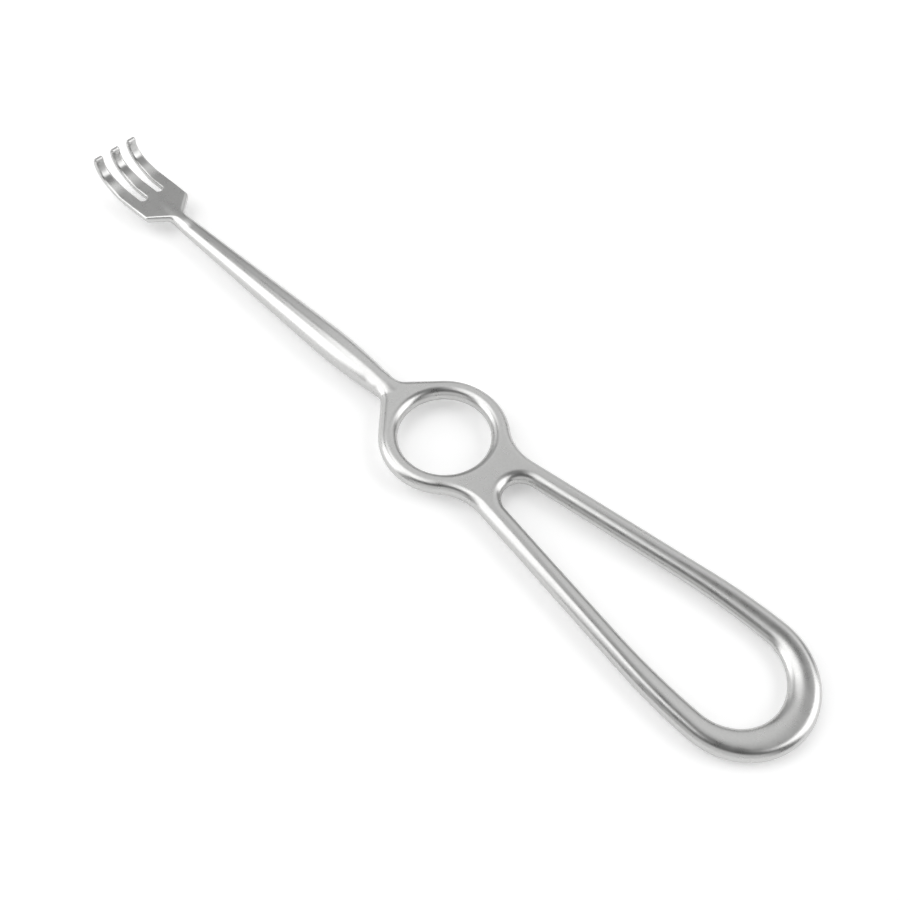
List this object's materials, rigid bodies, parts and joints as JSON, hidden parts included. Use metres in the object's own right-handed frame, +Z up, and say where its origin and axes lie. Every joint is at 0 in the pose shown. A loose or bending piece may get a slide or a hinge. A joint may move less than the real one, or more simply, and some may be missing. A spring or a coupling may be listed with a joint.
{
  "type": "handheld surgical retractor",
  "caption": "Slim forged steel hand retractor: long open loop handle, finger ring, round tapering shaft and a forked end with upturned blunt hooks.",
  "frame": {"origin": "on the surface the instrument lies on, halfway along its length and on its long centre line", "axes": "+X along the instrument from the loop towards the prongs, +Y across it, +Z up, the way the hooks point"},
  "size_m": [0.22, 0.0322, 0.0124],
  "materials": {
    "satin_steel": "satin, with brighter polished edges"
  },
  "bodies": {
    "root": {"retractor": "satin_steel"}
  },
  "joints": []
}
